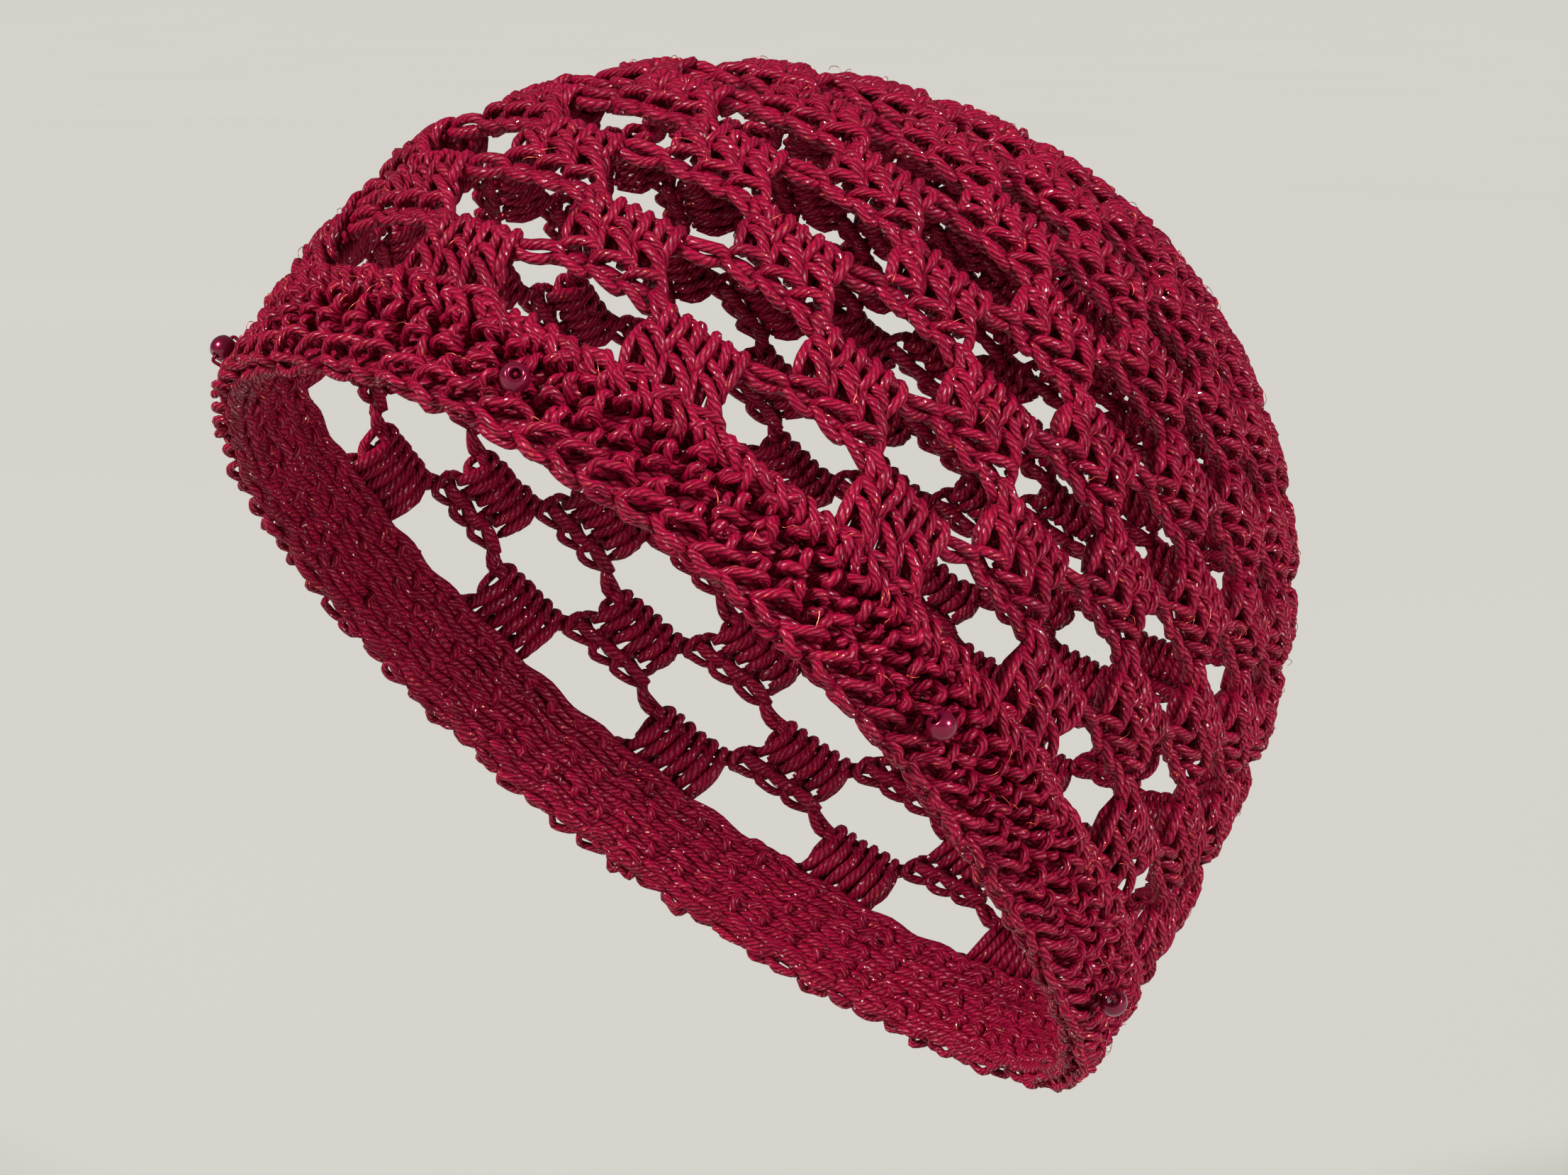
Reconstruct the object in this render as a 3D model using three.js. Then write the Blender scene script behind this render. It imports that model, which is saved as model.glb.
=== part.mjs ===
// A crocheted skullcap, kept in the form that it has on a head.
// A dome of openwork rounds hangs from a closed crown centre and ends in a dense headband,
// which is finished by a braided edging and set with small pearl beads.
// Millimetres. +Z is up, -Y is the wearer's front and +X the wearer's left.
// The origin is the middle of the opening that the head goes into.
import * as THREE from 'three';
import { mergeVertices } from 'three/addons/utils/BufferGeometryUtils.js';

// The dome, measured in its own frame, whose Z axis goes through the crown
const HALF_LENGTH = 98;
const HALF_WIDTH = 77;
const CROWN_HEIGHT = 120;
const SIDE_FULLNESS = 2.3;
const SHOULDER_SWELL = 0.062;
const NAPE_TAPER = 0.18;
const CROWN_DRIFT = 10.8;
const DRIFT_POWER = 2.5;
const RIM_WAVE = 2;
const RIM_RISE_AT_NAPE = 3.9;
const WORN_TILT_DEG = 46.7;

// The net: the same number of repeats in every round, and each round set half a repeat on
const REPEATS = 14;
const NET_ROUNDS = 8;
const NET_START = 15.9;
const FIRST_GAP = 22.6;
const FIRST_GAP_SHIFT = -0.13;
const ROUND_PITCH = 12.2;
const PITCH_LOSS = 0.21;
const GAP_HEIGHT_SHARE = 0.84;
const GAP_HALF_WIDTH = 0.28;
const GAP_WIDTH_LOSS = 0.0018;
const GAP_ROUNDNESS = 2.7;
const GAP_LEAN = 0.03;
const GAP_CORNERS = 10;

// Wall of the net and of the crown centre: how far each face lies from the middle of the yarn
const CORD_OUT = 1.5;
const CORD_IN = 1.7;
const EDGE_OUT = 0.9;
const EDGE_IN = 1.2;

// The headband and its edging
const SEAM = 0.3;
const EDGING_TOP = 3.9;
const BAND_ROWS = 4;
const BAND_CREST = 1.9;
const BAND_GROOVE = 1.2;
const BAND_IN = 1.7;
const EDGING_BOTTOM = -0.2;
const EDGING_OUT = 2.2;
const EDGING_IN = 1.8;
const EDGING_SIDES = 8;

// Rings that the crown centre is built on, as shares of the way from the net to the crown
const CENTRE_RINGS = [0, 0.14, 0.32, 0.5, 0.68, 0.85];
const COLUMNS_PER_REPEAT = 4;

// Pearl beads, where they sit round the band, counted in repeats from the front
const BEAD_RADIUS = 2.25;
const BEAD_SIDES = 12;
const BEAD_BANDS = 6;
const BEAD_ALONG = 7.6;
const BEADS = [
  { name: 'bead_front_right', repeat: -0.92 },
  { name: 'bead_front_left', repeat: 1.08 },
  { name: 'bead_side_left', repeat: 3.08 },
  { name: 'bead_back_left', repeat: 5.04 },
  { name: 'bead_back', repeat: 7.06 },
  { name: 'bead_back_right', repeat: 9.08 },
  { name: 'bead_side_right', repeat: 11.08 },
];

const PROFILE_STEPS = 400;
const GIRTH_STEPS = 1440;
const NUDGE = 0.02;

// The side profile from rim to crown, tabled against the length along it
function makeProfile() {
  const meanRadius = (HALF_LENGTH + HALF_WIDTH) / 2;
  const table = [];
  let along = 0;
  for (let i = 0; i < PROFILE_STEPS; i += 1) {
    const turn = (Math.PI / 2) * (i / (PROFILE_STEPS - 1));
    const reach = Math.max(Math.cos(turn), 0) ** (2 / SIDE_FULLNESS);
    const height = CROWN_HEIGHT * Math.sin(turn) ** (2 / SIDE_FULLNESS);
    if (i > 0) {
      const last = table[i - 1];
      along += Math.hypot((reach - last.reach) * meanRadius, height - last.height);
    }
    table.push({ along, reach, height });
  }
  return table;
}

// The angle round the oval plan, tabled against the share of the girth from the front
function makeGirth() {
  const table = [{ share: 0, angle: 0 }];
  const step = (2 * Math.PI) / GIRTH_STEPS;
  const speed = (a) => Math.hypot(HALF_WIDTH * Math.cos(a), HALF_LENGTH * Math.sin(a));
  let length = 0;
  for (let i = 1; i <= GIRTH_STEPS; i += 1) {
    const angle = i * step;
    length += ((speed(angle) + speed(angle - step)) / 2) * step;
    table.push({ share: length, angle });
  }
  return table.map((row) => ({ share: row.share / length, angle: row.angle }));
}

function lookUp(table, key, value, wanted) {
  let low = 0;
  let high = table.length - 1;
  while (high - low > 1) {
    const middle = (low + high) >> 1;
    if (table[middle][key] > value) high = middle;
    else low = middle;
  }
  const span = table[high][key] - table[low][key];
  const share = THREE.MathUtils.clamp((value - table[low][key]) / span, 0, 1);
  return THREE.MathUtils.lerp(table[low][wanted], table[high][wanted], share);
}

const PROFILE = makeProfile();
const GIRTH = makeGirth();
const CROWN_ALONG = PROFILE[PROFILE.length - 1].along;

// A point of the dome: repeats round from the front, and millimetres up from the rim
function domePoint(repeat, along) {
  const turn = (repeat + FIRST_GAP_SHIFT) / REPEATS;
  const angle = lookUp(GIRTH, 'share', turn - Math.floor(turn), 'angle');
  const reach = lookUp(PROFILE, 'along', along, 'reach');
  const height = along < 0 ? along : lookUp(PROFILE, 'along', along, 'height');
  const rise = Math.max(height, 0) / CROWN_HEIGHT;
  const swell = 1 + SHOULDER_SWELL * 4 * reach ** 2 * (1 - reach ** 2);
  const taper = 1 + NAPE_TAPER * Math.cos(angle);
  const wave = RIM_WAVE * Math.cos(2 * angle) - RIM_RISE_AT_NAPE * Math.cos(angle) ** 3;
  return new THREE.Vector3(
    HALF_WIDTH * reach * Math.sin(angle) * taper * swell,
    (-HALF_LENGTH * reach * Math.cos(angle) + CROWN_DRIFT * rise ** DRIFT_POWER) * swell,
    height + wave * (1 - height / CROWN_HEIGHT),
  );
}

function domeNormal(repeat, along) {
  if (along > CROWN_ALONG - 1) return new THREE.Vector3(0, 0, 1);
  const round = domePoint(repeat + NUDGE, along).sub(domePoint(repeat - NUDGE, along));
  const up = domePoint(repeat, along + NUDGE).sub(domePoint(repeat, Math.max(along, NUDGE) - NUDGE));
  return round.cross(up).normalize();
}

function lifted(repeat, along, lift) {
  return domePoint(repeat, along).addScaledVector(domeNormal(repeat, along), lift);
}

function geometryFrom(points, triangles) {
  const geometry = new THREE.BufferGeometry();
  const places = points.flatMap((p) => [p.x, p.y, p.z]);
  geometry.setAttribute('position', new THREE.Float32BufferAttribute(places, 3));
  geometry.setIndex(triangles.flat());
  geometry.computeVertexNormals();
  return geometry;
}

// A flat chart of corners and triangles, laid on the dome and given an outer and an inner face.
// Every open edge of the chart gets a wall between the two.
function shell(corners, triangles) {
  const count = corners.length;
  const outer = corners.map((c) => lifted(c.repeat, c.along, c.out));
  const inner = corners.map((c) => lifted(c.repeat, c.along, -c.in));
  const edges = new Set();
  triangles.forEach(([a, b, c]) => [[a, b], [b, c], [c, a]].forEach((e) => edges.add(e.join())));
  const faces = triangles.map((t) => [...t]);
  triangles.forEach(([a, b, c]) => faces.push([a + count, c + count, b + count]));
  edges.forEach((edge) => {
    const [a, b] = edge.split(',').map(Number);
    if (edges.has([b, a].join())) return;
    faces.push([b, a, a + count], [b, a + count, b + count]);
  });
  return geometryFrom([...outer, ...inner], faces);
}

// A closed outline of (along, lift) points carried right round the dome
function hoop(outline) {
  const columns = REPEATS * COLUMNS_PER_REPEAT;
  const points = [];
  const faces = [];
  const size = outline.length;
  for (let i = 0; i < columns; i += 1) {
    outline.forEach((o) => points.push(lifted(i / COLUMNS_PER_REPEAT, o.along, o.lift)));
    const here = i * size;
    const next = ((i + 1) % columns) * size;
    for (let j = 0; j < size; j += 1) {
      const k = (j + 1) % size;
      faces.push([here + j, here + k, next + k], [here + j, next + k, next + j]);
    }
  }
  return geometryFrom(points, faces);
}

function gapCentre(round) {
  return FIRST_GAP + ROUND_PITCH * (round - 1) - PITCH_LOSS * (round - 1) ** 2;
}

// Where one round of the net is worked into the next
function lineBelow(round) {
  return round === 1 ? NET_START : (gapCentre(round - 1) + gapCentre(round)) / 2;
}

// One gap's outline, a rounded form that leans as the stitches do
function gapOutline(round) {
  const halfHeight = (GAP_HEIGHT_SHARE * (gapCentre(round + 1) - gapCentre(round))) / 2;
  const halfWidth = GAP_HALF_WIDTH - GAP_WIDTH_LOSS * (round - 1) ** 2;
  const power = 2 / GAP_ROUNDNESS;
  const points = [];
  for (let i = 0; i < GAP_CORNERS; i += 1) {
    const turn = (2 * Math.PI * (i + 0.5)) / GAP_CORNERS;
    const across = Math.sign(Math.cos(turn)) * Math.abs(Math.cos(turn)) ** power;
    const up = Math.sign(Math.sin(turn)) * Math.abs(Math.sin(turn)) ** power;
    points.push({
      across: halfWidth * across - GAP_LEAN * up,
      along: gapCentre(round) + halfHeight * up,
    });
  }
  return points;
}

// The tile round a gap: its four sides, with the corners that the tiles above and below share
function tileOutline(round) {
  const low = lineBelow(round);
  const high = lineBelow(round + 1);
  const steps = Array.from({ length: COLUMNS_PER_REPEAT + 1 }, (_, i) => i / COLUMNS_PER_REPEAT - 0.5);
  const bottom = steps.map((across) => ({ across, along: low }));
  const top = [...steps].reverse().map((across) => ({ across, along: high }));
  return [...bottom, ...top];
}

function netGeometry() {
  const corners = [];
  const places = new Map();
  const triangles = [];
  const cornerAt = (repeat, along, onCord) => {
    const around = ((repeat % REPEATS) + REPEATS) % REPEATS;
    const key = `${(Math.round(around * 1e4) % (REPEATS * 1e4))},${Math.round(along * 1e3)}`;
    if (!places.has(key)) {
      places.set(key, corners.length);
      corners.push({
        repeat: around,
        along,
        out: onCord ? CORD_OUT : EDGE_OUT,
        in: onCord ? CORD_IN : EDGE_IN,
      });
    }
    return places.get(key);
  };
  for (let round = 1; round <= NET_ROUNDS; round += 1) {
    const width = domePoint(0, gapCentre(round)).distanceTo(domePoint(1, gapCentre(round)));
    const tile = tileOutline(round);
    const gap = gapOutline(round);
    const flat = (p) => new THREE.Vector2(p.across * width, p.along);
    const faces = THREE.ShapeUtils.triangulateShape(tile.map(flat), [gap.map(flat).reverse()]);
    const tiled = [...tile, ...[...gap].reverse()];
    for (let i = 0; i < REPEATS; i += 1) {
      const middle = i + (round - 1) / 2;
      const ids = tiled.map((p, n) => cornerAt(middle + p.across, p.along, n < tile.length));
      faces.forEach((face) => triangles.push(face.map((n) => ids[n])));
    }
  }
  return shell(corners, triangles);
}

// The closed middle of the crown, where the work starts
function crownCentreGeometry() {
  const columns = REPEATS * COLUMNS_PER_REPEAT;
  const start = lineBelow(NET_ROUNDS + 1) + SEAM;
  const corners = [];
  const triangles = [];
  CENTRE_RINGS.forEach((share, ring) => {
    const along = THREE.MathUtils.lerp(start, CROWN_ALONG, share);
    for (let i = 0; i < columns; i += 1) {
      corners.push({ repeat: i / COLUMNS_PER_REPEAT, along, out: CORD_OUT, in: CORD_IN });
      if (ring === 0) continue;
      const below = (ring - 1) * columns;
      const here = ring * columns;
      const next = (i + 1) % columns;
      triangles.push([below + i, below + next, here + next], [below + i, here + next, here + i]);
    }
  });
  const last = (CENTRE_RINGS.length - 1) * columns;
  corners.push({ repeat: 0, along: CROWN_ALONG, out: CORD_OUT, in: CORD_IN });
  for (let i = 0; i < columns; i += 1) {
    triangles.push([last + i, last + ((i + 1) % columns), corners.length - 1]);
  }
  return shell(corners, triangles);
}

// The band's section: a plain inner face, and one rib for each row of stitches outside
function bandOutline() {
  const low = EDGING_TOP + SEAM;
  const high = NET_START - SEAM;
  const outline = [
    { along: low, lift: -BAND_IN },
    { along: high, lift: -BAND_IN },
  ];
  for (let i = 2 * BAND_ROWS; i >= 0; i -= 1) {
    const lift = i % 2 === 0 ? BAND_GROOVE : BAND_CREST;
    outline.push({ along: THREE.MathUtils.lerp(low, high, i / (2 * BAND_ROWS)), lift });
  }
  return outline;
}

function edgingOutline() {
  const middle = (EDGING_TOP + EDGING_BOTTOM) / 2;
  const halfHeight = (EDGING_TOP - EDGING_BOTTOM) / 2 / Math.cos(Math.PI / EDGING_SIDES);
  const outline = [];
  for (let i = 0; i < EDGING_SIDES; i += 1) {
    const turn = (2 * Math.PI * (i + 0.5)) / EDGING_SIDES;
    const depth = Math.sin(turn) > 0 ? EDGING_OUT : EDGING_IN;
    outline.push({ along: middle + halfHeight * Math.cos(turn), lift: depth * Math.sin(turn) });
  }
  return outline;
}

function beadGeometry() {
  const geometry = new THREE.SphereGeometry(BEAD_RADIUS, BEAD_SIDES, BEAD_BANDS);
  geometry.deleteAttribute('normal');
  geometry.deleteAttribute('uv');
  const closed = mergeVertices(geometry);
  closed.computeVertexNormals();
  return closed;
}

function yarnMaterial(color) {
  return new THREE.MeshStandardMaterial({ color, roughness: 0.62, metalness: 0 });
}

function pearlMaterial() {
  return new THREE.MeshStandardMaterial({ color: 0x7a1238, roughness: 0.22, metalness: 0.35 });
}

function pieceNamed(name, geometry, material) {
  const mesh = new THREE.Mesh(geometry, material);
  mesh.name = name;
  return mesh;
}

const skullcap = new THREE.Group();
skullcap.rotation.x = -THREE.MathUtils.degToRad(WORN_TILT_DEG);
skullcap.add(
  pieceNamed('crown_centre', crownCentreGeometry(), yarnMaterial(0x8c1736)),
  pieceNamed('crown_net', netGeometry(), yarnMaterial(0x921a3a)),
  pieceNamed('headband', hoop(bandOutline()), yarnMaterial(0x85142f)),
  pieceNamed('edging', hoop(edgingOutline()), yarnMaterial(0x7c122c)),
);
BEADS.forEach(({ name, repeat }) => {
  const bead = pieceNamed(name, beadGeometry(), pearlMaterial());
  const outwards = domeNormal(repeat, BEAD_ALONG);
  bead.position.copy(lifted(repeat, BEAD_ALONG, BAND_CREST + SEAM + BEAD_RADIUS));
  bead.quaternion.setFromUnitVectors(new THREE.Vector3(0, 1, 0), outwards);
  skullcap.add(bead);
});

export default skullcap;
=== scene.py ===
# %% [markdown]
# # A crocheted skullcap
# The cap is worked from the crown down in one cotton yarn with a fine metallic thread in it:
# an openwork dome of double-crochet clusters, a dense band of short stitches, a braided edge
# and seven small pearl beads. It is dressed here over its fixed solids, in metres.

# %% Load the fixed frame
import math

import bpy
import numpy as np
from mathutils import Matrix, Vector


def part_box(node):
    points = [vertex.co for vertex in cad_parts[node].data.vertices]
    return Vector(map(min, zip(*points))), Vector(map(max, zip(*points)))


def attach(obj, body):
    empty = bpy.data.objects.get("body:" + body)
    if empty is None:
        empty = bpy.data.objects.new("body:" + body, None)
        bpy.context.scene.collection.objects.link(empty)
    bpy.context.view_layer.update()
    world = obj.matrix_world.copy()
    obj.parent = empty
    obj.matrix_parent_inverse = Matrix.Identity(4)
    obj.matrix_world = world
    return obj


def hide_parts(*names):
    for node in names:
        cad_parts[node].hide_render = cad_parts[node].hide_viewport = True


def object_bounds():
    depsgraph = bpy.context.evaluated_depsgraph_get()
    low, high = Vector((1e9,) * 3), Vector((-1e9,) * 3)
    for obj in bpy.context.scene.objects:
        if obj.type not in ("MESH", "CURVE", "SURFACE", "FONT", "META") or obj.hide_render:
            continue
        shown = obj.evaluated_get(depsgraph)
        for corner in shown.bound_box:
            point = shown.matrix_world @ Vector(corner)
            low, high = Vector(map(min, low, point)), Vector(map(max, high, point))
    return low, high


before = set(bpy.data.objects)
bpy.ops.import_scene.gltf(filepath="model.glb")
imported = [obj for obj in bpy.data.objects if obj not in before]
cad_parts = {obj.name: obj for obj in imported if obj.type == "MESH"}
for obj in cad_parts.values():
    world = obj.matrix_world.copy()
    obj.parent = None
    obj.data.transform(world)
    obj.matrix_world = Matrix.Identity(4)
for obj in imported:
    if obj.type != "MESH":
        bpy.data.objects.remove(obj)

MM = 0.001
cad_box = [list(corner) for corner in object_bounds()]
print("solids fill", [[round(c, 4) for c in corner] for corner in cad_box])

# %% [markdown]
# ## The dome
# A cap has no flat side to draw on, so every stitch is first placed on a map of it: repeats
# counted round from the front, and millimetres counted up from the rim. One function bends that
# map onto an oval dome. It uses the same sizes as the solids, so stitches and solids agree.

# %% The dome's sizes and its side profile
HALF_LENGTH, HALF_WIDTH, CROWN_HEIGHT = 98.0, 77.0, 120.0
SIDE_FULLNESS, SHOULDER_SWELL, NAPE_TAPER = 2.3, 0.062, 0.18
CROWN_DRIFT, DRIFT_POWER = 10.8, 2.5
RIM_WAVE, RIM_RISE_AT_NAPE = 2.0, 3.9
WORN_TILT = math.radians(46.7)
REPEATS, FIRST_GAP_SHIFT = 14, -0.13

steps = np.linspace(0, math.pi / 2, 400)
reach_table = np.maximum(np.cos(steps), 0) ** (2 / SIDE_FULLNESS)
height_table = CROWN_HEIGHT * np.sin(steps) ** (2 / SIDE_FULLNESS)
mean_radius = (HALF_LENGTH + HALF_WIDTH) / 2
climb = np.hypot(np.diff(reach_table) * mean_radius, np.diff(height_table))
along_table = np.concatenate([[0], np.cumsum(climb)])
CROWN_ALONG = along_table[-1]

angle_table = np.linspace(0, 2 * math.pi, 1441)
speed = np.hypot(HALF_WIDTH * np.cos(angle_table), HALF_LENGTH * np.sin(angle_table))
girth_steps = (speed[1:] + speed[:-1]) / 2
share_table = np.concatenate([[0], np.cumsum(girth_steps)]) / girth_steps.sum()
print("rim to crown, mm:", round(CROWN_ALONG, 1))

# %% From the map to the dome


def worn(points):
    """Tilts points of the cap's own frame back, as the cap is worn."""
    x, y, z = np.moveaxis(points, -1, 0)
    c, s = math.cos(WORN_TILT), math.sin(WORN_TILT)
    return np.stack([x, c * y + s * z, c * z - s * y], -1)


def dome(repeat, along):
    """Points of the dome in its own frame, in millimetres."""
    angle = np.interp(((repeat + FIRST_GAP_SHIFT) / REPEATS) % 1.0, share_table, angle_table)
    reach = np.interp(along, along_table, reach_table)
    height = np.where(along < 0, along, np.interp(along, along_table, height_table))
    swell = 1 + SHOULDER_SWELL * 4 * reach**2 * (1 - reach**2)
    taper = 1 + NAPE_TAPER * np.cos(angle)
    drift = CROWN_DRIFT * (np.maximum(height, 0) / CROWN_HEIGHT) ** DRIFT_POWER
    wave = RIM_WAVE * np.cos(2 * angle) - RIM_RISE_AT_NAPE * np.cos(angle) ** 3
    return np.stack(
        [
            HALF_WIDTH * reach * np.sin(angle) * taper * swell,
            (drift - HALF_LENGTH * reach * np.cos(angle)) * swell,
            height + wave * (1 - height / CROWN_HEIGHT),
        ],
        -1,
    )


def dome_normal(repeat, along, nudge=0.02):
    """Directions straight out of the dome."""
    around = dome(repeat + nudge, along) - dome(repeat - nudge, along)
    up = dome(repeat, along + nudge) - dome(repeat, along - nudge)
    out = np.cross(around, up)
    out /= np.maximum(np.linalg.norm(out, axis=-1, keepdims=True), 1e-9)
    at_crown = (along > CROWN_ALONG - 1)[..., None]
    return np.where(at_crown, np.array([0.0, 0.0, 1.0]), out)


# %% Where the fabric leaves the even dome
# Where the real fabric leaves the even dome: repeat, mm up, mm out, its spread in repeats and in mm
BULGES = [
    (-0.5, 47.0, 2.6, 1.2, 13.0),
    (0.4, 103.0, -1.4, 1.0, 16.0),
    (5.7, 58.0, -1.6, 1.2, 26.0),
    (8.6, 58.0, -1.6, 1.2, 26.0),
    (-1.2, 4.0, -2.4, 0.9, 9.0),
]


def bulge(repeat, along):
    """How far out of the even dome the fabric stands, in millimetres."""
    total = 0.0
    for at_repeat, at_along, out, spread_round, spread_up in BULGES:
        away = (repeat - at_repeat + REPEATS / 2) % REPEATS - REPEATS / 2
        distance = (away / spread_round) ** 2 + ((along - at_along) / spread_up) ** 2
        total = total + out * np.exp(-0.5 * distance)
    return total


def on_dome(repeat, along, lift):
    """Points of the worn cap, lift millimetres out from the middle of its wall."""
    repeat, along, lift = np.broadcast_arrays(*(np.asarray(a, float) for a in (repeat, along, lift)))
    lift = lift + bulge(repeat, along)
    return worn(dome(repeat, along) + dome_normal(repeat, along) * lift[..., None])


width_alongs = np.linspace(0, CROWN_ALONG, 120)
ring = dome(np.linspace(0, REPEATS, 281)[None, :], width_alongs[:, None])
ring_girths = np.linalg.norm(np.diff(ring, axis=1), axis=2).sum(1)


def repeat_width(along):
    """How wide one repeat is at this height, in millimetres."""
    return np.maximum(np.interp(along, width_alongs, ring_girths / REPEATS), 0.5)


print("girth at the rim, mm:", round(float(ring_girths[0])))

# %% [markdown]
# ## Yarn
# The yarn is five fine plies twisted together. The plies are too fine to model one by one over
# the whole cap, so each strand is a smooth tube that carries its own space: across the strand
# and along it. The material winds the plies in that space. All strands of a round are swept at
# once with arrays, and bends get more rings than straight runs.

# %% Curves through control points
YARN_RADIUS = 0.85
HIDDEN_RADIUS = 1.1
SIDES, HIDDEN_SIDES = 7, 5
RINGS_PER_MM = 0.55
RINGS_PER_BEND = 1.05
THICKNESS_SPREAD = 0.04
LONGEST_START = 400
random = np.random.default_rng(14)


def smooth_through(points, per_span=8):
    """Curves through control points, one row of points per strand."""
    before = 2 * points[:, :1] - points[:, 1:2]
    after = 2 * points[:, -1:] - points[:, -2:-1]
    ends = np.concatenate([before, points, after], 1)
    t = np.linspace(0, 1, per_span, endpoint=False)[None, None, :, None]
    a, b, c, d = (ends[:, i : i + points.shape[1] - 1, None] for i in range(4))
    squared, cubed = 2 * a - 5 * b + 4 * c - d, 3 * b - a - 3 * c + d
    curve = 0.5 * (2 * b + (c - a) * t + squared * t**2 + cubed * t**3)
    return np.concatenate([curve.reshape(len(points), -1, 3), points[:, -1:]], 1)


def respaced(curves, density):
    """The curves with as many points on each, closer together in bends, and how far along they are."""
    steps = np.diff(curves, axis=1)
    lengths = np.maximum(np.linalg.norm(steps, axis=2), 1e-6)
    ways = steps / lengths[..., None]
    bends = np.arccos(np.clip((ways[:, 1:] * ways[:, :-1]).sum(2), -1, 1))
    bends = np.pad(bends, ((0, 0), (0, 1))) / 2 + np.pad(bends, ((0, 0), (1, 0))) / 2
    weights = lengths * RINGS_PER_MM * density + bends * RINGS_PER_BEND
    runs = np.pad(np.cumsum(lengths, 1), ((0, 0), (1, 0)))
    marks = np.pad(np.cumsum(weights, 1), ((0, 0), (1, 0)))
    count = max(int(round(marks[:, -1].mean())), 3) + 1
    wanted = np.linspace(0, 1, count)
    rows = [
        [np.interp(wanted * mark[-1], mark, values) for values in (*curve.T, run)]
        for mark, curve, run in zip(marks, curves, runs)
    ]
    rows = np.moveaxis(np.array(rows), 1, -1)
    return rows[..., :3], rows[..., 3]


def carried_frames(points):
    """Two directions square to each strand, carried along it without turning."""
    tangents = np.gradient(points, axis=1)
    tangents /= np.linalg.norm(tangents, axis=2, keepdims=True)
    spare = np.where(np.abs(tangents[:, 0, :1]) < 0.8, [[1.0, 0, 0]], [[0, 1.0, 0]])
    side = np.cross(tangents[:, 0], spare)
    sides = []
    for i in range(points.shape[1]):
        side = side - (side * tangents[:, i]).sum(1, keepdims=True) * tangents[:, i]
        side = side / np.linalg.norm(side, axis=1, keepdims=True)
        sides.append(side)
    sides = np.stack(sides, 1)
    return sides, np.cross(tangents, sides)


# %% Tubes along the curves


def swept(controls, radius=YARN_RADIUS, sides=SIDES, density=1.0, pinch=0.3):
    """Tubes along control points, pinched at their ends, as arrays for one mesh."""
    points, run = respaced(smooth_through(controls), density)
    first, second = carried_frames(points)
    strands, rings = points.shape[:2]
    corner = np.arange(sides) * 2 * math.pi / sides
    from_middle = np.abs(np.linspace(-1, 1, rings))[None, :, None, None]
    plumpness = 1 + random.normal(0, THICKNESS_SPREAD, (strands, 1, 1, 1))
    thickness = radius * plumpness * (1 - pinch * from_middle**4)
    around = np.cos(corner)[:, None] * first[:, :, None] + np.sin(corner)[:, None] * second[:, :, None]
    verts = points[:, :, None] + thickness * around
    start = random.uniform(0, LONGEST_START, (strands, 1, 1))
    space = np.stack(np.broadcast_arrays(np.cos(corner), np.sin(corner), run[..., None] + start), -1)
    tone = np.broadcast_to(random.uniform(0, 1, (strands, 1, 1)), space.shape[:3])
    return {
        "verts": verts.reshape(-1, 3),
        "shape": (strands, rings, sides),
        "ply_space": space.reshape(-1, 3),
        "yarn_tone": tone.ravel(),
    }


# %% Strands into a mesh


def tube_faces(shape, start):
    """Quads round every tube and one face over each of its ends."""
    strands, rings, sides = shape
    index = start + np.arange(strands * rings * sides).reshape(shape)
    here, there = index[:, :-1], index[:, 1:]
    quads = np.stack([here, np.roll(here, -1, 2), np.roll(there, -1, 2), there], -1)
    caps = np.concatenate([index[:, 0, ::-1], index[:, -1]])
    return quads.reshape(-1, 4), caps


def placed(name, data):
    """An object in the scene that shows this mesh, lamp or camera."""
    thing = bpy.data.objects.new(name, data)
    bpy.context.scene.collection.objects.link(thing)
    return thing


def piece_of(name, tubes, material, *stands_for, slot="cotton_yarn"):
    """One piece made of many tubes, riding on the cap and standing for its solids."""
    quads, caps, start = [], [], 0
    for tube in tubes:
        q, c = tube_faces(tube["shape"], start)
        quads.append(q)
        caps += list(c)
        start += len(tube["verts"])
    quads = np.concatenate(quads)
    corners = np.concatenate([quads.ravel(), *caps])
    totals = np.concatenate([np.full(len(quads), 4), [len(c) for c in caps]]).astype(int)
    mesh = bpy.data.meshes.new(name)
    mesh.vertices.add(start)
    mesh.vertices.foreach_set("co", (np.concatenate([t["verts"] for t in tubes]) * MM).ravel())
    mesh.loops.add(len(corners))
    mesh.loops.foreach_set("vertex_index", corners.astype(np.int32))
    mesh.polygons.add(len(totals))
    mesh.polygons.foreach_set("loop_start", np.concatenate([[0], np.cumsum(totals)[:-1]]).astype(np.int32))
    mesh.polygons.foreach_set("use_smooth", np.ones(len(totals), bool))
    for kind, label, field in (
        ("FLOAT_VECTOR", "ply_space", "vector"),
        ("FLOAT", "yarn_tone", "value"),
    ):
        values = np.concatenate([t[label] for t in tubes]).astype(np.float32)
        mesh.attributes.new(label, kind, "POINT").data.foreach_set(field, values.ravel())
    mesh.update(calc_edges=True)
    mesh.materials.append(material)
    piece = placed(name, mesh)
    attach(piece, "root")
    if stands_for:
        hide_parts(*stands_for)
    triangles = int((totals - 2).sum())
    print(f"{name}: {triangles} triangles")
    return piece


# %% [markdown]
# ## Colour and surface of the yarn
# The five plies wind round the strand as ridges. The crowns carry the yarn's own colour, and the grooves
# between them get a darker colour as painted shade.
# The yarn is a little different from strand to strand, and finely streaked along its fibres. A
# metallic thread runs with it and flashes in short dashes. These are colours and masks that
# change over the yarn, so they live in one node group, and each material sets the shader's own
# constant values.

# %% Helpers for node trees


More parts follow.
